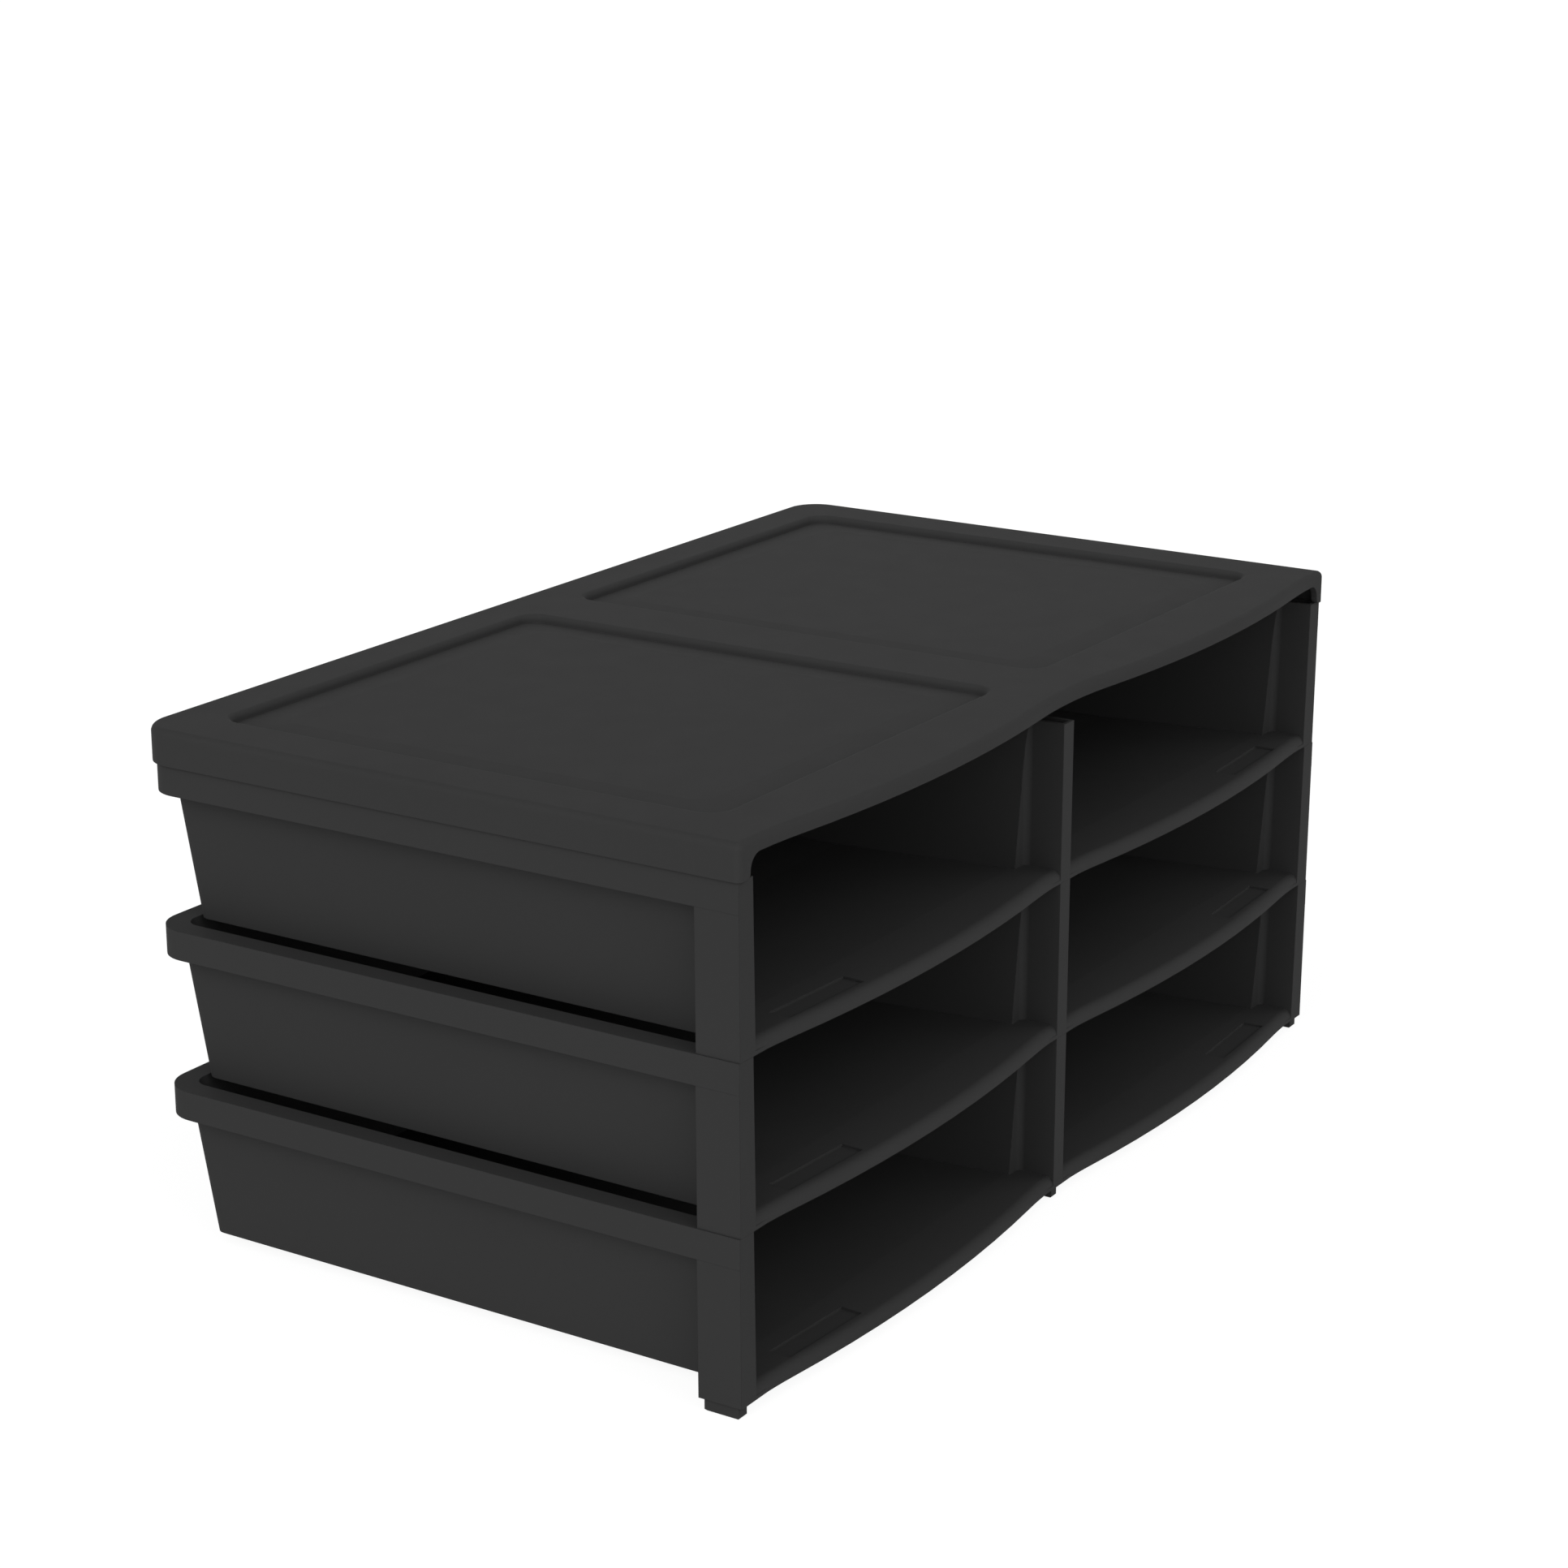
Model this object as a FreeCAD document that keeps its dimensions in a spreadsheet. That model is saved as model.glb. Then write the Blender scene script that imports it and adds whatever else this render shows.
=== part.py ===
import FreeCAD, Part
import math
import os
import Sketcher

# Letter tray stack: three identical double-wide letter trays and a cover, millimetres.
# X runs across the two compartments, Y from the open front to the back wall, Z up.
# The origin is under the middle of the stack, on the surface that it stands on.

SIZES = {
    # the trays
    "tray_width": 517.4,
    "tray_depth": 296.5,
    "tier_height": 72.0,
    "tier_count": 3,
    "wall": 2.2,
    "floor": 1.75,
    "rim_band": 12.9,
    "rim_side_width": 10.1,
    "rim_back_width": 9.6,
    "rim_corner_radius": 16.0,
    "side_lean": 10.8,
    "back_lean": 3.0,
    "well_corner_radius": 7.7,
    "tub_corner_radius": 5.2,
    # the divider between the two compartments
    "divider_top": 8.8,
    "divider_lean": 9.1,
    "rib_count": 3,
    "rib_width": 2.0,
    # the front posts, the sockets in their tops and the pegs under their feet
    "post_width": 9.7,
    "post_depth": 20.2,
    "post_outer_lean": 0.6,
    "post_inner_lean": 1.6,
    "step_radius": 3.0,
    "post_play": 0.3,
    "socket_width": 6.2,
    "socket_depth": 16.8,
    "socket_front": 1.75,
    "socket_outer": 1.6,
    "middle_socket_width": 5.2,
    "socket_bottom": 8.0,
    "peg_clearance": 0.3,
    "peg_height": 5.7,
    "peg_lead_in": 0.8,
    # the floor's ramp and its rounded front lip
    "lip_height": 5.8,
    "lip_rounding": 4.0,
    "ramp_start": 20.6,
    "ramp_end": 108.0,
    "lip_setback": 0.3,
    "cut_clearance": 10.0,
    "front_bulge": 7.5,
    "front_hollow_radius": 236.6,
    # the slots through the back wall, and the feet that stand in line with them
    "outer_slot_place": 214.1,
    "inner_slot_place": 63.8,
    "slot_width": 19.6,
    "slot_bottom": 66.5,
    "slot_top": 69.2,
    "skirt_slot_bottom": 60.0,
    "skirt_slot_top": 67.5,
    "foot_thickness": 3.3,
    "foot_side_clearance": 0.6,
    # the label recesses in the lip
    "label_length": 50.4,
    "label_width": 10.0,
    "label_depth": 1.0,
    "label_place": 194.0,
    "label_setback": 6.2,
    "label_turn": 3.3,
    # the cover
    "cover_side_overhang": 1.3,
    "cover_back_overhang": 1.7,
    "cover_front_overhang": 1.4,
    "cover_bulge": 8.2,
    "cover_height": 15.4,
    "cover_band": 5.9,
    "cover_skirt": 2.2,
    "cover_corner_radius": 17.0,
    "cover_edge_rounding": 3.0,
    "flange_width": 7.4,
    "flange_thickness": 3.0,
    "flange_inner_radius": 6.6,
    "flange_foot_radius": 2.6,
    "panel_side_margin": 27.5,
    "panel_gap": 38.0,
    "panel_back_margin": 24.5,
    "panel_front_margin": 28.3,
    "panel_depth": 3.8,
    "panel_edge_rounding": 2.5,
    "panel_corner_radius": 9.0,
    "panel_bevel": 17.0,
    "panel_rise": 1.2,
}

# places closer than this, in millimetres, count as the same
NEAR = 0.001

doc = FreeCAD.newDocument("letter_tray_stack")
sheet = doc.addObject("Spreadsheet::Sheet", "sizes")
for row, (word, number) in enumerate(SIZES.items(), start=1):
    sheet.set("A{}".format(row), word)
    sheet.set("B{}".format(row), str(number))
    sheet.setAlias("B{}".format(row), word)
doc.recompute()


class Size:
    """A length as a number, with the expression that ties it to the sheet."""

    def __init__(self, number, words):
        self.number = number
        self.words = words

    def __add__(self, other):
        return Size(self.number + number_of(other), "({} + {})".format(self.words, words_of(other)))

    def __sub__(self, other):
        return Size(self.number - number_of(other), "({} - {})".format(self.words, words_of(other)))

    def __mul__(self, factor):
        return Size(self.number * number_of(factor), "({} * {})".format(self.words, words_of(factor)))

    def __truediv__(self, other):
        return Size(self.number / number_of(other), "({} / {})".format(self.words, words_of(other)))

    def __neg__(self):
        return Size(-self.number, "(-1 * {})".format(self.words))


def number_of(value):
    return value.number if isinstance(value, Size) else float(value)


def words_of(value):
    return value.words if isinstance(value, Size) else repr(float(value))


def size(word):
    return Size(float(sheet.get(word)), "sizes.{}".format(word))


# Places that several features share

wall = size("wall")
tier = size("tier_height")
tray_half = size("tray_width") / 2
cover_half = tray_half + size("cover_side_overhang")
cover_front_reach = size("cover_bulge") + size("cover_front_overhang")
cover_depth = cover_front_reach + size("tray_depth") + size("cover_back_overhang")
cover_back = cover_depth / 2
tray_back = cover_back - size("cover_back_overhang")
post_front = tray_back - size("tray_depth")
post_back = post_front + size("post_depth")
step_line = post_back - wall
well_side_top = tray_half - size("rim_side_width")
well_side_base = well_side_top - size("side_lean")
well_back_top = tray_back - size("rim_back_width")
well_back_base = well_back_top - size("back_lean")
divider_half = size("divider_top") / 2
divider_half_base = divider_half + size("divider_lean")
post_side_top = tray_half - size("post_width")
post_side_base = post_side_top - size("post_inner_lean")
ramp_crest = post_front + size("ramp_start")
lip_front = post_front - size("front_bulge")
clear_front = lip_front - size("cut_clearance")


def plane(body, role):
    for feature in body.Origin.OriginFeatures:
        if feature.Role == role:
            return feature


def new_sketch(body, name, role, offset):
    sketch = body.newObject("Sketcher::SketchObject", name)
    sketch.AttachmentSupport = [(plane(body, role), "")]
    sketch.MapMode = "FlatFace"
    if isinstance(offset, Size):
        sketch.setExpression("AttachmentOffset.Base.z", offset.words)
    doc.recompute()
    return sketch


def bind(sketch, kind, parts, value):
    """Add a dimension whose value is an expression of the sheet."""
    index = sketch.addConstraint(Sketcher.Constraint(kind, *parts, value.number))
    sketch.setExpression("Constraints[{}]".format(index), value.words)


def pin(sketch, geometry, vertex, x, y):
    bind(sketch, "DistanceX", (-1, 1, geometry, vertex), x)
    bind(sketch, "DistanceY", (-1, 1, geometry, vertex), y)


def way(start, end):
    """The sign of the step from one number to the next: -1, 0 or 1."""
    step = end.number - start.number
    return 0 if abs(step) < NEAR else math.copysign(1, step)


def vector(point):
    return FreeCAD.Vector(point[0].number, point[1].number, 0)


def outline(sketch, corners, ends=None):
    """Draw straight runs through corners, each (x, y) or, where two square runs are rounded, (x, y, radius).

    The outline is closed, unless ends gives the two points that it runs between.
    """
    if ends is None:
        around = [corners[-1]] + corners + [corners[0]]
    else:
        around = [ends[0]] + corners + [ends[1]]
    stops = []
    for last, corner, following in zip(around, corners, around[2:]):
        if len(corner) < 3:
            stops.append((corner, corner))
            continue
        x, y, radius = corner
        stops.append(tuple(
            (x + radius * way(x, other[0]), y + radius * way(y, other[1])) for other in (last, following)))
    runs = [(leave[1], enter[0]) for leave, enter in zip(stops, stops[1:])]
    if ends is None:
        runs = [(stops[-1][1], stops[0][0])] + runs
    else:
        runs = [(ends[0], stops[0][0])] + runs + [(stops[-1][1], ends[1])]
    lines = [sketch.addGeometry(Part.LineSegment(vector(start), vector(end))) for start, end in runs]
    for i, (corner, (enter, leave)) in enumerate(zip(corners, stops)):
        before = lines[i]
        after = lines[(i + 1) % len(lines)]
        pin(sketch, after, 1, *leave[:2])
        if len(corner) < 3:
            sketch.addConstraint(Sketcher.Constraint("Coincident", before, 2, after, 1))
            continue
        pin(sketch, before, 2, *enter)
        diagonal = math.sqrt(0.5)
        x, y, radius = corner
        crown = FreeCAD.Vector(
            (enter[0] + leave[0]).number - x.number, (enter[1] + leave[1]).number - y.number, 0)
        crown = crown + (vector(corner) - crown) * diagonal
        arc = sketch.addGeometry(Part.Arc(vector(enter), crown, vector(leave)))
        starts_first = sketch.Geometry[arc].StartPoint.distanceToPoint(vector(enter)) < radius.number / 2
        first_end, second_end = (1, 2) if starts_first else (2, 1)
        sketch.addConstraint(Sketcher.Constraint("Coincident", before, 2, arc, first_end))
        sketch.addConstraint(Sketcher.Constraint("Coincident", after, 1, arc, second_end))
        bind(sketch, "Radius", (arc,), radius)
    return lines


def rectangle(left, right, front, back):
    return [(left, front), (right, front), (right, back), (left, back)]


def prism(body, kind, name, role, offset, outlines, length, reversed_way=False, midplane=False):
    """Pad or pocket one sketch of straight-sided outlines."""
    sketch = new_sketch(body, name + "_outline", role, offset)
    for corners in outlines:
        outline(sketch, corners)
    feature = body.newObject("PartDesign::" + kind, name)
    feature.Profile = sketch
    feature.setExpression("Length", length.words)
    feature.Reversed = reversed_way
    feature.SideType = "Symmetric" if midplane else "One side"
    doc.recompute()
    return feature


def loft(body, kind, name, sections):
    """Loft straight between outlines drawn at several heights: (height or None, corners)."""
    sketches = []
    for i, (height, corners) in enumerate(sections):
        sketch = new_sketch(body, "{}_section_{}".format(name, i + 1), "XY_Plane", height)
        outline(sketch, corners)
        sketches.append(sketch)
    feature = body.newObject("PartDesign::" + kind, name)
    feature.Profile = sketches[0]
    feature.Sections = sketches[1:]
    feature.Ruled = True
    doc.recompute()
    return feature


def mirror(body, name, originals):
    feature = body.newObject("PartDesign::Mirrored", name)
    feature.Originals = originals
    feature.MirrorPlane = (plane(body, "YZ_Plane"), [""])
    body.Tip = feature
    doc.recompute()
    return feature


def ease_edges(body, kind, name, chosen, measure, length):
    """Round or chamfer the edges of the body's last shape that a test picks out."""
    base = body.Tip
    names = ["Edge{}".format(i + 1) for i, edge in enumerate(base.Shape.Edges) if chosen(edge)]
    feature = body.newObject("PartDesign::" + kind, name)
    feature.Base = (base, names)
    feature.setExpression(measure, length.words)
    doc.recompute()
    return feature


def round_edges(body, name, chosen, radius):
    return ease_edges(body, "Fillet", name, chosen, "Radius", radius)


def lean_walls(body, name, chosen, fall, depth, outside=False):
    """Tilt flat walls about their upper edges, inwards by fall over the depth."""
    base = body.Tip
    names = ["Face{}".format(i + 1) for i, face in enumerate(base.Shape.Faces) if chosen(face.BoundBox)]
    upper = ["Face{}".format(i + 1) for i, face in enumerate(base.Shape.Faces)
             if abs(face.BoundBox.ZMin - tier.number) < NEAR]
    feature = body.newObject("PartDesign::Draft", name)
    feature.Base = (base, names)
    feature.NeutralPlane = (base, upper[:1])
    feature.setExpression("Angle", "atan({} / {})".format(fall.words, depth.words))
    feature.Reversed = outside
    doc.recompute()
    return feature


def at_height(edge, height):
    return all(abs(vertex.Point.z - height.number) < NEAR for vertex in edge.Vertexes)


def bowed_outline(sketch, half, front, bulge, corners):
    """Draw an outline whose front bows out in two waves, one for each compartment.

    Each wave is a hollow arc, a crowned arc and a hollow arc, all tangent; the hollow
    ends touch the line at front, at the middle and at half the way out on each side.
    corners go on from the right end of the waves round to the left end.
    """
    wave = half / 2
    hollow = size("front_hollow_radius")
    crown = (wave * wave + bulge * bulge) / (bulge * 2) - hollow
    turn = math.asin(wave.number / (crown + hollow).number)
    top = math.pi / 2

    def arc(x, y, radius, low, high):
        circle = Part.Circle(FreeCAD.Vector(x, y, 0), FreeCAD.Vector(0, 0, 1), radius)
        return sketch.addGeometry(Part.ArcOfCircle(circle, low, high))

    waves = []
    for middle in (-wave.number, wave.number):
        low_y = front.number - hollow.number
        left = arc(middle - wave.number, low_y, hollow.number, top - turn, top)
        belly = arc(middle, (front - bulge + crown).number, crown.number, -top - turn, -top + turn)
        right = arc(middle + wave.number, low_y, hollow.number, top, top + turn)
        sketch.addConstraint(Sketcher.Constraint("Tangent", left, 1, belly, 1))
        sketch.addConstraint(Sketcher.Constraint("Tangent", belly, 2, right, 2))
        sketch.addConstraint(Sketcher.Constraint("Vertical", left, 3, left, 2))
        sketch.addConstraint(Sketcher.Constraint("Vertical", right, 3, right, 1))
        bind(sketch, "Radius", (left,), hollow)
        bind(sketch, "Radius", (belly,), crown)
        bind(sketch, "Radius", (right,), hollow)
        waves.append((left, right))
    (far_left, left_of_middle), (right_of_middle, far_right) = waves
    sketch.addConstraint(Sketcher.Constraint("Coincident", left_of_middle, 1, right_of_middle, 2))
    sketch.addConstraint(Sketcher.Constraint("PointOnObject", right_of_middle, 2, -2))
    bind(sketch, "DistanceX", (-1, 1, far_left, 2), -half)
    bind(sketch, "DistanceX", (-1, 1, far_right, 1), half)
    for end, vertex in ((far_left, 2), (right_of_middle, 2), (far_right, 1)):
        bind(sketch, "DistanceY", (-1, 1, end, vertex), front)
    lines = outline(sketch, corners, ((half, front), (-half, front)))
    sketch.addConstraint(Sketcher.Constraint("Coincident", lines[0], 1, far_right, 1))
    sketch.addConstraint(Sketcher.Constraint("Coincident", lines[-1], 2, far_left, 2))


def both_sides(place_left, place_right):
    """The same stretch of X on the right and on the left."""
    return [(place_left, place_right), (-place_right, -place_left)]


def build_tray():
    """One tray moulding, standing on Z = 0 with its pegs and feet below."""
    body = doc.addObject("PartDesign::Body", "tray_moulding")

    # the rim's band, with the hollow behind its skirt
    band_bottom = tier - size("rim_band")
    corner = size("rim_corner_radius")
    prism(body, "Pad", "rim_block", "XY_Plane", band_bottom, [[
        (-tray_half, post_front), (tray_half, post_front),
        (tray_half, tray_back, corner), (-tray_half, tray_back, corner)]], size("rim_band"))
    inside = tray_half - wall
    inner_corner = corner - wall
    prism(body, "Pocket", "rim_hollow", "XY_Plane", band_bottom, [[
        (-inside, post_front + wall), (inside, post_front + wall),
        (inside, tray_back - wall, inner_corner), (-inside, tray_back - wall, inner_corner)]],
        size("rim_band") - wall, reversed_way=True)

    # the wells' outside, narrower towards the bottom
    tub_side = well_side_top + wall
    tub_back = well_back_top + wall
    well_depth = tier - size("floor")
    tub_foot = well_side_base + wall
    prism(body, "Pad", "tub", "XZ_Plane", -(post_front + wall), [[
        (-tub_foot, wall * 0), (tub_foot, wall * 0), (tub_side, tier), (-tub_side, tier)]],
        tub_back - (post_front + wall), reversed_way=True)

    # the block that the front posts are carved from
    foot_half = tray_half - size("post_outer_lean")
    loft(body, "AdditiveLoft", "front_block", [
        (None, rectangle(-foot_half, foot_half, post_front, post_back)),
        (tier, rectangle(-tray_half, tray_half, post_front, post_back))])

    # the wells, one on each side of the divider
    well_middle = divider_half + size("post_play")
    carve = prism(body, "Pocket", "right_well", "XZ_Plane", -clear_front, [[
        (divider_half_base, size("floor")), (well_side_base, size("floor")),
        (well_side_top, tier), (well_middle, tier)]], well_back_top - clear_front)
    mirror(body, "left_well", [carve])

    # the back wall leans forwards towards the floor
    def stands_at(y):
        return lambda box: box.YLength < NEAR and abs(box.YMin - y.number) < NEAR
    lean_walls(body, "well_back_lean", stands_at(well_back_top), size("back_lean"), well_depth)
    lean_walls(body, "tub_back_lean", stands_at(tub_back), size("back_lean"), well_depth, True)

    # the back corners are rounded, inside and outside
    def is_tall(edge):
        return edge.BoundBox.ZLength > tier.number / 2 and edge.BoundBox.YMin > post_back.number

    def is_well_corner(edge):
        return is_tall(edge) and edge.BoundBox.ZMin > size("floor").number / 2
    round_edges(body, "well_round", is_well_corner, size("well_corner_radius"))

    def is_tub_corner(edge):
        return is_tall(edge) and edge.BoundBox.ZMin < size("floor").number / 2
    round_edges(body, "tub_round", is_tub_corner, size("tub_corner_radius"))

    # the mouths between the posts, wider than the wells and rounded where they meet them
    def mouth(height, post_side):
        radius = size("step_radius")
        return (height, [(divider_half, clear_front), (post_side, clear_front),
                         (post_side, step_line, radius), (divider_half, step_line, radius)])
    open_front = loft(body, "SubtractiveLoft", "right_mouth", [
        mouth(size("floor"), post_side_base), mouth(tier, post_side_top)])
    mirror(body, "left_mouth", [open_front])

    # the ramp, which rises to the front lip
    bite = size("floor") / 2
    prism(body, "Pad", "ramp", "YZ_Plane", None, [[
        (ramp_crest - wall, bite), (post_front + size("ramp_end"), bite),
        (post_front + size("ramp_end"), size("floor")),
        (ramp_crest, size("lip_height")), (ramp_crest - wall, size("lip_height"))]],
        (well_side_base + wall / 2) * 2, midplane=True)

    # the lip, which bows out in front of each compartment
    sketch = new_sketch(body, "lip_outline", "XY_Plane", None)
    wave_end = post_side_top + wall
    lip_end = wave_end + wall / 2
    lip_line = post_front + size("lip_setback")
    bowed_outline(sketch, wave_end, lip_line, size("front_bulge"), [
        (lip_end, lip_line), (lip_end, ramp_crest), (-lip_end, ramp_crest), (-lip_end, lip_line)])
    lip = body.newObject("PartDesign::Pad", "lip")
    lip.Profile = sketch
    lip.setExpression("Length", size("lip_height").words)
    doc.recompute()

    def is_lip_edge(edge):
        return at_height(edge, size("lip_height")) and edge.BoundBox.YMax < post_front.number + 1
    round_edges(body, "lip_round", is_lip_edge, size("lip_rounding"))

    # the divider is hollow from below, with ribs across the hollow
    hollow_length = well_back_base - post_back
    cell = (hollow_length - size("rib_width") * size("rib_count")) / (size("rib_count") + 1)
    roof_half = divider_half - wall
    foot = divider_half_base - wall
    for i in range(int(size("rib_count").number) + 1):
        cell_front = post_back + (cell + size("rib_width")) * i
        prism(body, "Pocket", "divider_hollow_{}".format(i + 1), "XZ_Plane", -cell_front, [[
            (-foot, -wall), (foot, -wall), (roof_half, tier - wall), (-roof_half, tier - wall)]], cell)

    # sockets in the posts' tops, and pegs that drop into the sockets of the tray below
    front = post_front + size("socket_front")
    back = front + size("socket_depth")
    outer = tray_half - size("socket_outer")
    gap = size("peg_clearance")
    places = both_sides(outer - size("socket_width"), outer)
    places.append((-size("middle_socket_width") / 2, size("middle_socket_width") / 2))
    prism(body, "Pocket", "sockets", "XY_Plane", tier,
          [rectangle(left, right, front, back) for left, right in places], size("socket_bottom"))
    prism(body, "Pad", "pegs", "XY_Plane", None,
          [rectangle(left + gap, right - gap, front + gap, back - gap) for left, right in places],
          size("peg_height"), reversed_way=True)

    def is_peg_rim(edge):
        return at_height(edge, -size("peg_height"))
    ease_edges(body, "Chamfer", "peg_lead_ins", is_peg_rim, "Size", size("peg_lead_in"))

    # slots through the back wall and lower in the skirt behind it, and a foot in line with each
    half_slot = size("slot_width") / 2
    places = []
    for place in (size("outer_slot_place"), size("inner_slot_place")):
        places += both_sides(place - half_slot, place + half_slot)
    prism(body, "Pocket", "slots", "XZ_Plane", -(well_back_base - wall),
          [rectangle(left, right, size("slot_bottom"), size("slot_top")) for left, right in places],
          size("rim_back_width"))
    low = size("skirt_slot_bottom")
    high = size("skirt_slot_top")
    prism(body, "Pocket", "skirt_slots", "XZ_Plane", -(tray_back - wall * 2),
          [rectangle(left, right, low, high) for left, right in places], wall * 3)
    ease = size("foot_side_clearance")
    foot_back = well_back_base + wall
    prism(body, "Pad", "feet", "XY_Plane", None,
          [rectangle(left + ease, right - ease, foot_back - size("foot_thickness"), foot_back)
           for left, right in places], size("peg_height"), reversed_way=True)

    # a shallow label recess in the lip, near each outer post
    recesses = []
    turn = math.radians(size("label_turn").number)
    reach = size("label_length") / 2
    width = size("label_width")
    middle_x = size("label_place")
    middle_y = post_front + size("label_setback")
    for side in (1, -1):
        corners = []
        for along, across in ((-1, -1), (1, -1), (1, 1), (-1, 1)):
            x = middle_x + reach * (along * math.cos(turn)) - width / 2 * (across * math.sin(turn))
            y = middle_y + reach * (along * math.sin(turn)) + width / 2 * (across * math.cos(turn))
            corners.append((x * side, y))
        recesses.append(corners)
    prism(body, "Pocket", "label_recesses", "XY_Plane", size("lip_height"), recesses, size("label_depth"))
    return body


def build_cover():
    """The cover, standing on Z = 0 with its skirt."""
    body = doc.addObject("PartDesign::Body", "cover")
    front = post_front - size("cover_front_overhang")
    corner = size("cover_corner_radius")
    front_corner = size("cover_edge_rounding")
    sketch = new_sketch(body, "cover_outline", "XY_Plane", None)
    bowed_outline(sketch, post_side_top + wall, front, size("cover_bulge"), [
        (cover_half, front, front_corner), (cover_half, cover_back, corner),
        (-cover_half, cover_back, corner), (-cover_half, front, front_corner)])
    block = body.newObject("PartDesign::Pad", "cover_block")
    block.Profile = sketch
    block.setExpression("Length", size("cover_height").words)
    doc.recompute()

    def is_top_edge(edge):
        return at_height(edge, size("cover_height"))
    round_edges(body, "cover_top_round", is_top_edge, size("cover_edge_rounding"))

    # two panels sunk in the top, with rounded upper edges and a raised middle
    outer = cover_half - size("panel_side_margin")
    inner = size("panel_gap") / 2
    panel_front = front + size("panel_front_margin")
    panel_back = cover_back - size("panel_back_margin")
    panel_corner = size("panel_corner_radius")
    top = size("cover_height")
    low = top - size("panel_depth")

    def panel(inset, radius):
        return [
            (inner + inset, panel_front + inset, radius), (outer - inset, panel_front + inset, radius),
            (outer - inset, panel_back - inset, radius), (inner + inset, panel_back - inset, radius)]
    sink = prism(body, "Pocket", "right_panel", "XY_Plane", top, [panel(wall * 0, panel_corner)],
                 size("panel_depth"))
    mirror(body, "left_panel", [sink])

    def is_panel_edge(edge):
        box = edge.BoundBox
        reach = max(abs(box.XMin), abs(box.XMax))
        return at_height(edge, top) and reach < outer.number + 1 and box.YMin > panel_front.number - 1
    round_edges(body, "panel_round", is_panel_edge, size("panel_edge_rounding"))
    rise = loft(body, "AdditiveLoft", "right_raised_panel", [
        (low, panel(wall * 0, panel_corner)),
        (low + size("panel_rise"), panel(size("panel_bevel"), panel_corner))])
    mirror(body, "left_raised_panel", [rise])

    # the room inside the skirt; flanges close the skirt's ends beside the open front
    skirt = size("cover_skirt")
    inside = cover_half - skirt
    mouth = cover_half - size("flange_width")
    behind = front + size("flange_thickness")
    room = top - size("cover_band")
    room_front = clear_front - size("cut_clearance")
    room_back = cover_back - skirt
    inner_corner = corner - skirt
    prism(body, "Pocket", "cover_room", "XY_Plane", None, [[
        (-mouth, room_front), (mouth, room_front), (mouth, behind), (inside, behind),
        (inside, room_back, inner_corner), (-inside, room_back, inner_corner),
        (-inside, behind), (-mouth, behind)]], room, reversed_way=True)

    def is_flange_edge(edge):
        return abs(abs(edge.CenterOfMass.x) - mouth.number) < NEAR and edge.BoundBox.ZLength < NEAR

    def is_flange_corner(edge):
        return is_flange_edge(edge) and at_height(edge, room)
    round_edges(body, "flange_round", is_flange_corner, size("flange_inner_radius"))

    def is_flange_foot(edge):
        return is_flange_edge(edge) and edge.BoundBox.ZMax < NEAR
    round_edges(body, "flange_foot_round", is_flange_foot, size("flange_foot_radius"))

    # the frame round the panels is hollow from below
    def island(left, right):
        corners = rectangle(left, right, panel_front - wall, panel_back + wall)
        return [(x, y, panel_corner + wall) for x, y in corners]
    islands = [island(left, right) for left, right in both_sides(inner - wall, outer + wall)]
    prism(body, "Pocket", "frame_hollow", "XY_Plane", room, [
        [(-inside, behind), (inside, behind),
         (inside, room_back, inner_corner), (-inside, room_back, inner_corner)]] + islands,
        size("cover_band") - wall, reversed_way=True)
    return body


def raise_to(piece, height):
    piece.setExpression("Placement.Base.z", height.words)


tray = build_tray()
cover = build_cover()
tray_names = ["tray_bottom", "tray_middle", "tray_top"]
nodes = []
for level, name in enumerate(tray_names[:int(size("tier_count").number)]):
    piece = doc.addObject("Part::Compound", name)
    piece.Links = [tray]
    raise_to(piece, size("peg_height") + tier * level)
    nodes.append(piece)
raise_to(cover, size("peg_height") + tier * size("tier_count"))
nodes.append(cover)
doc.recompute()

for thing in doc.Objects:
    if "Invalid" in thing.State or "Error" in thing.State:
        raise RuntimeError("{} failed: {}".format(thing.Name, thing.State))
os.makedirs("parts", exist_ok=True)
for piece in nodes:
    shape = piece.Shape
    if shape.isNull() or not shape.isValid():
        raise RuntimeError("{} has no valid shape".format(piece.Label))
    shape.exportStep("parts/{}.step".format(piece.Label))
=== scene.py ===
import math

import bpy
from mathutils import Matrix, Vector

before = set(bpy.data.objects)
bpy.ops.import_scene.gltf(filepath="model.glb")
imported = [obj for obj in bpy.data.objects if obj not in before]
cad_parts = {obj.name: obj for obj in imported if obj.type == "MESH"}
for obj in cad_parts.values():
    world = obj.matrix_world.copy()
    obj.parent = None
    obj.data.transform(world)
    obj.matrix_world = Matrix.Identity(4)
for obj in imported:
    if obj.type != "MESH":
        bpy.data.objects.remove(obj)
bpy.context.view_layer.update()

# ---------------------------------------------------------------- camera

CAMERA_PLACE = (-1.2775, -0.8166, 0.6296)  # metres
CAMERA_HEADING = 57.368                    # degrees from +Y towards +X
CAMERA_RISE = -16.849                      # degrees above level
PICTURE_SIDE = 1932                        # pixels
FOCAL_LENGTH = 4282.6                      # pixels
SENSOR_WIDTH = 36.0                        # millimetres
VIEW_DEPTH = 200.0                         # metres


def direction_to(heading, height):
    """The unit vector towards a heading, in degrees from +Y towards +X, and a height above level."""
    turn = math.radians(heading)
    rise = math.radians(height)
    return Vector((math.sin(turn) * math.cos(rise), math.cos(turn) * math.cos(rise), math.sin(rise)))


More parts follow.
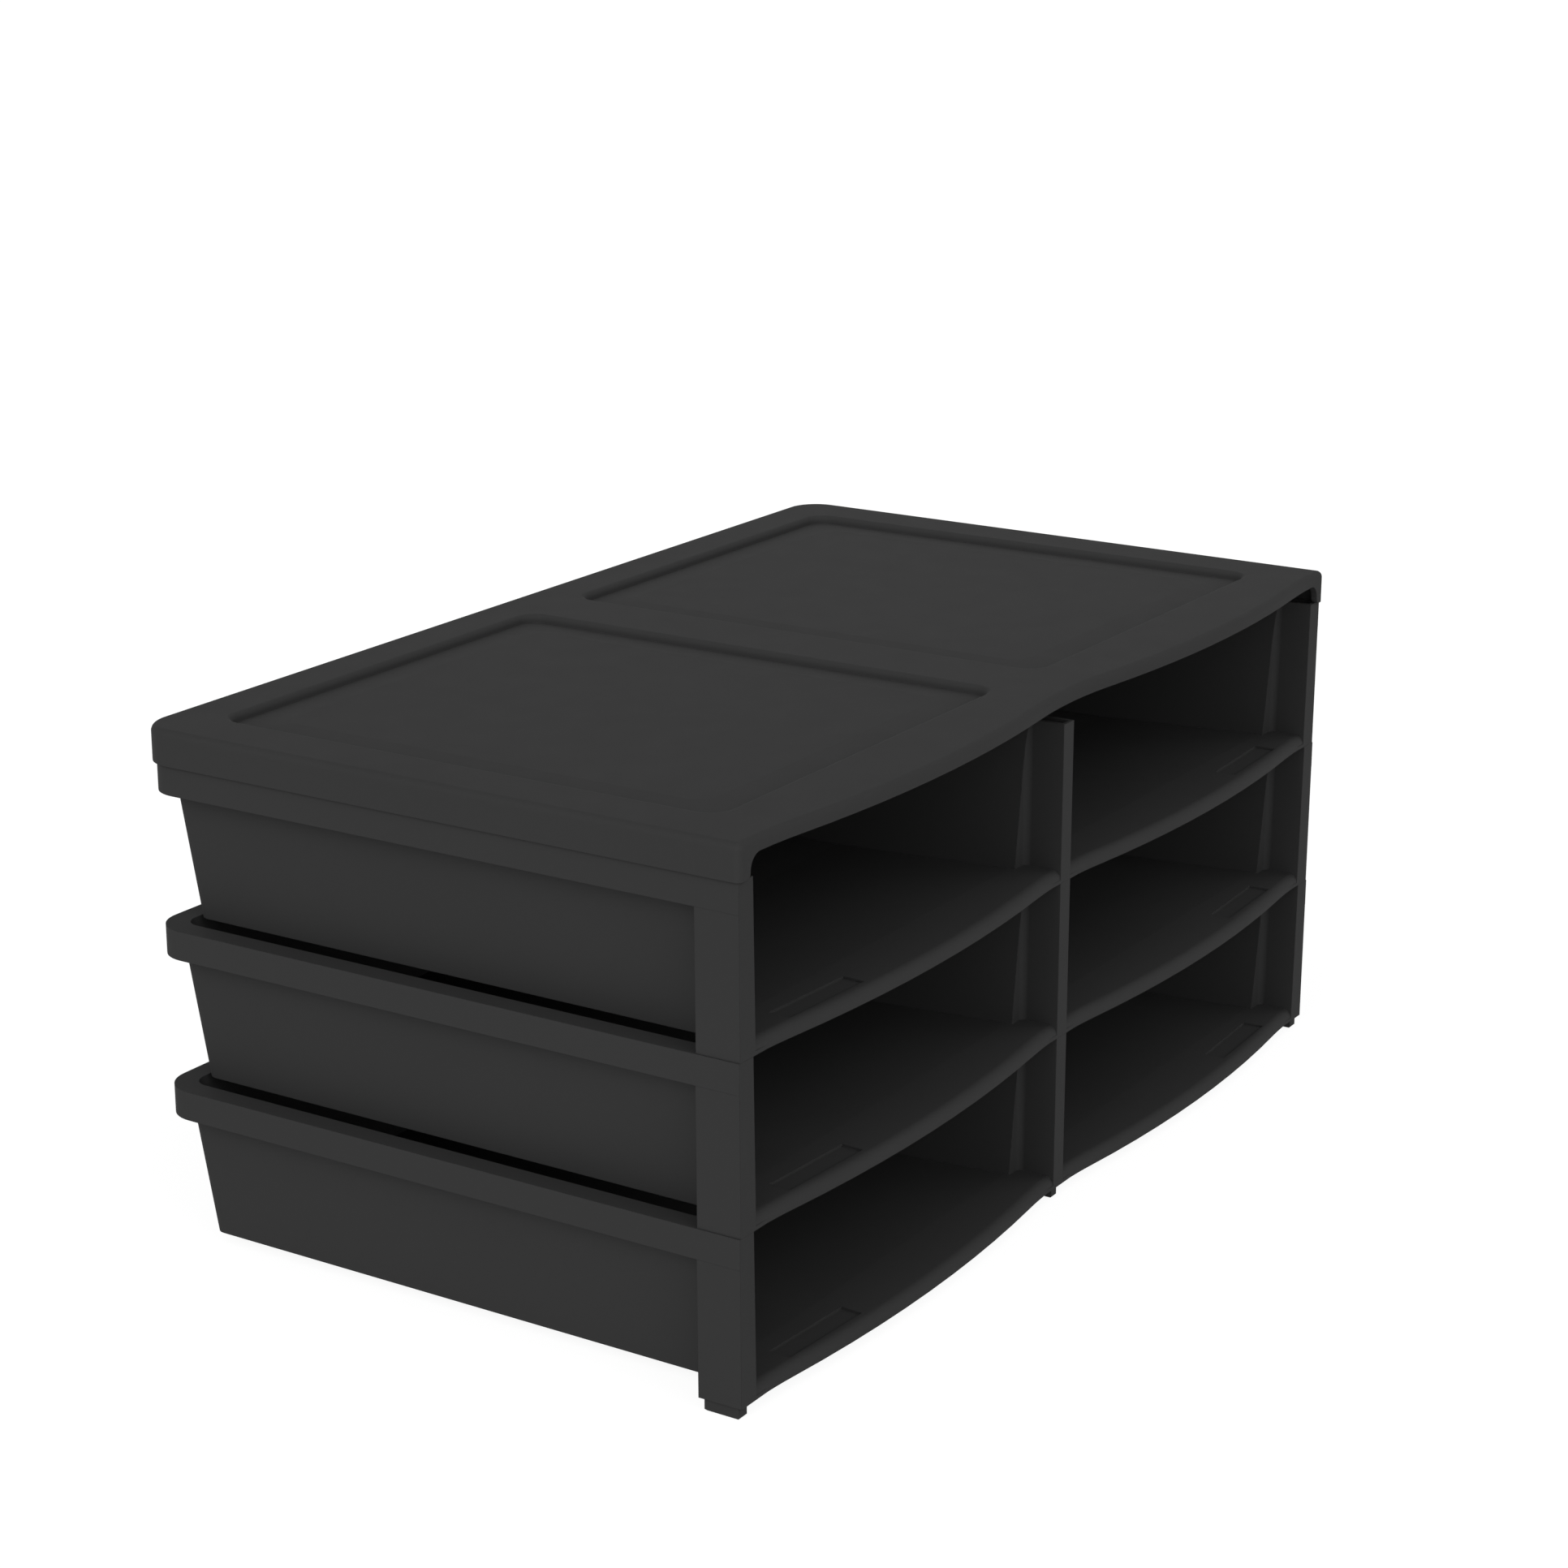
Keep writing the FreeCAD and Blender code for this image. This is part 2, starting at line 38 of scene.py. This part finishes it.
def make_camera():
    data = bpy.data.cameras.new("camera")
    data.sensor_width = SENSOR_WIDTH
    data.lens = FOCAL_LENGTH / PICTURE_SIDE * SENSOR_WIDTH
    data.clip_end = VIEW_DEPTH
    camera = bpy.data.objects.new("camera", data)
    bpy.context.scene.collection.objects.link(camera)
    camera.rotation_euler = direction_to(CAMERA_HEADING, CAMERA_RISE).to_track_quat("-Z", "Y").to_euler()
    camera.location = CAMERA_PLACE
    bpy.context.scene.camera = camera


# ---------------------------------------------------------------- node helpers

WHITE = (1.0, 1.0, 1.0, 1.0)


def feed(tree, socket, value):
    """Link a socket to another one, or set it to a value."""
    if isinstance(value, bpy.types.NodeSocket):
        tree.links.new(value, socket)
    else:
        socket.default_value = value


def node(tree, kind, **inputs):
    """Add a node and feed its sockets, whose names have _ for a space."""
    made = tree.nodes.new(kind)
    for words, value in inputs.items():
        feed(tree, made.inputs[words.replace("_", " ")], value)
    return made


def new_material(name):
    material = bpy.data.materials.new(name)
    material.use_nodes = True
    tree = material.node_tree
    tree.nodes.clear()
    return material, tree, tree.nodes.new("ShaderNodeOutputMaterial")


def noise(tree, place, scale, detail=2.0, roughness=0.5):
    made = node(tree, "ShaderNodeTexNoise", Vector=place, Scale=scale, Detail=detail, Roughness=roughness)
    return made.outputs["Fac"]


def spread(tree, value, low, high, to_low, to_high):
    """Map the range from low to high onto the range from to_low to to_high."""
    made = node(tree, "ShaderNodeMapRange", Value=value, From_Min=low, From_Max=high,
                To_Min=to_low, To_Max=to_high)
    return made.outputs["Result"]


def arithmetic(tree, operation, *values):
    made = tree.nodes.new("ShaderNodeMath")
    made.operation = operation
    for socket, value in zip(made.inputs, values):
        feed(tree, socket, value)
    return made.outputs["Value"]


def mix_greys(tree, amount, dark, light):
    made = tree.nodes.new("ShaderNodeMix")
    made.data_type = "RGBA"
    feed(tree, made.inputs["Factor"], amount)
    feed(tree, made.inputs["A"], (dark, dark, dark, 1.0))
    feed(tree, made.inputs["B"], (light, light, light, 1.0))
    return made.outputs["Result"]


def looked_at(tree):
    """1 for what is seen directly, in a mirror or through glass, and 0 for what lights the object."""
    ray = tree.nodes.new("ShaderNodeLightPath").outputs
    seen = arithmetic(tree, "MAXIMUM", ray["Is Camera Ray"], ray["Is Glossy Ray"])
    return arithmetic(tree, "MAXIMUM", seen, ray["Is Transmission Ray"])


def show_blend(tree, output, share, first, second):
    """Show the first shader, with a share of the second mixed in."""
    blend = node(tree, "ShaderNodeMixShader", Fac=share)
    feed(tree, blend.inputs[1], first)
    feed(tree, blend.inputs[2], second)
    feed(tree, output.inputs["Surface"], blend.outputs["Shader"])


# ---------------------------------------------------------------- the moulded plastic

PLASTIC_DARK = 0.0395
PLASTIC_LIGHT = 0.0405
CLOUD_SCALE = 9.0                          # per metre, as are the next two
FLOW_MARK_SCALE = 60.0
GRAIN_SCALE = 2600.0
NOISE_MIDDLE = (0.3, 0.7)                  # where most of the noise lies
ROUGHNESS = (0.705, 0.735)
EDGE_SOFTNESS = 0.0005                     # metres
GRAIN_HEIGHT = 0.0001                      # metres
GRAIN_STRENGTH = 0.12


def moulded_plastic(name):
    """Matte black plastic from a spark-eroded mould: fine grain, faint flow marks, softened edges."""
    material, tree, output = new_material(name)
    place = tree.nodes.new("ShaderNodeTexCoord").outputs["Object"]
    cloud = spread(tree, noise(tree, place, CLOUD_SCALE, 3.0), *NOISE_MIDDLE, 0.0, 1.0)
    gloss = spread(tree, noise(tree, place, FLOW_MARK_SCALE), *NOISE_MIDDLE, *ROUGHNESS)
    grain = noise(tree, place, GRAIN_SCALE, 2.0, 0.6)
    bevel = node(tree, "ShaderNodeBevel", Radius=EDGE_SOFTNESS)
    bevel.samples = 4
    relief = node(tree, "ShaderNodeBump", Strength=GRAIN_STRENGTH, Distance=GRAIN_HEIGHT, Height=grain,
                  Normal=bevel.outputs["Normal"])
    shader = node(tree, "ShaderNodeBsdfPrincipled", Roughness=gloss, Normal=relief.outputs["Normal"],
                  Base_Color=mix_greys(tree, cloud, PLASTIC_DARK, PLASTIC_LIGHT),
                  IOR=1.45, Specular_IOR_Level=0.04)
    feed(tree, output.inputs["Surface"], shader.outputs["BSDF"])
    return material


def dress():
    tray = moulded_plastic("tray_plastic")
    cover = moulded_plastic("cover_plastic")
    for name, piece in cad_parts.items():
        piece.data.materials.clear()
        piece.data.materials.append(cover if name == "cover" else tray)


# ---------------------------------------------------------------- floor and light

FLOOR_REACH = 30.0                         # metres to each side
FLOOR_DARK = 0.90
FLOOR_LIGHT = 0.92
FLOOR_CLOUD_SCALE = 3.0                    # per metre
FLOOR_GLOW = 1.2
FLOOR_GLOW_SHARE = 0.75                    # of what is seen of the floor
SKY_STRENGTH = 0.17
SKY_GLOW = (237, 0, 0.86)                  # heading from +Y towards +X, height, strength
SUNS = (                                   # name, heading, height, strength, width; angles in degrees
    ("left", 280, 30, 0.80, 40),
    ("front", 195, 30, 0.42, 40),
    ("right", 130, 35, 0.30, 40),
)


def make_floor():
    """A pale floor that takes the object's shadow and shows white."""
    mesh = bpy.data.meshes.new("floor")
    corners = [(x * FLOOR_REACH, y * FLOOR_REACH, 0) for x, y in ((-1, -1), (1, -1), (1, 1), (-1, 1))]
    mesh.from_pydata(corners, [], [(0, 1, 2, 3)])
    floor = bpy.data.objects.new("floor", mesh)
    bpy.context.scene.collection.objects.link(floor)
    material, tree, output = new_material("floor_paint")
    place = tree.nodes.new("ShaderNodeTexCoord").outputs["Object"]
    tone = mix_greys(tree, noise(tree, place, FLOOR_CLOUD_SCALE), FLOOR_DARK, FLOOR_LIGHT)
    paint = node(tree, "ShaderNodeBsdfDiffuse", Color=tone)
    glow = node(tree, "ShaderNodeEmission", Color=WHITE, Strength=FLOOR_GLOW)
    share = arithmetic(tree, "MULTIPLY", looked_at(tree), FLOOR_GLOW_SHARE)
    show_blend(tree, output, share, paint.outputs["BSDF"], glow.outputs["Emission"])
    mesh.materials.append(material)


def sky_strength(tree):
    """An even sky with one wide soft glow in it."""
    heading, height, strength = SKY_GLOW
    facing = tree.nodes.new("ShaderNodeVectorMath")
    facing.operation = "DOT_PRODUCT"
    feed(tree, facing.inputs[0], tree.nodes.new("ShaderNodeTexCoord").outputs["Generated"])
    feed(tree, facing.inputs[1], direction_to(heading, height))
    glow = arithmetic(tree, "POWER", spread(tree, facing.outputs["Value"], -1, 1, 0, 1), 2)
    return arithmetic(tree, "MULTIPLY_ADD", glow, strength, SKY_STRENGTH)


def make_sky():
    world = bpy.data.worlds.new("studio")
    bpy.context.scene.world = world
    world.use_nodes = True
    tree = world.node_tree
    tree.nodes.clear()
    output = tree.nodes.new("ShaderNodeOutputWorld")
    light = node(tree, "ShaderNodeBackground", Color=WHITE, Strength=sky_strength(tree))
    white = node(tree, "ShaderNodeBackground", Color=WHITE, Strength=1.0)
    show_blend(tree, output, looked_at(tree), light.outputs["Background"], white.outputs["Background"])


def make_sun(name, heading, height, strength, width):
    """A soft distant lamp that stands in the direction of its heading and height."""
    data = bpy.data.lights.new(name, "SUN")
    data.energy = strength
    data.angle = math.radians(width)
    lamp = bpy.data.objects.new(name, data)
    bpy.context.scene.collection.objects.link(lamp)
    lamp.rotation_euler = direction_to(heading, height).to_track_quat("Z", "Y").to_euler()


make_camera()
dress()
make_floor()
make_sky()
for sun in SUNS:
    make_sun(*sun)
bpy.context.scene.view_settings.view_transform = "Standard"
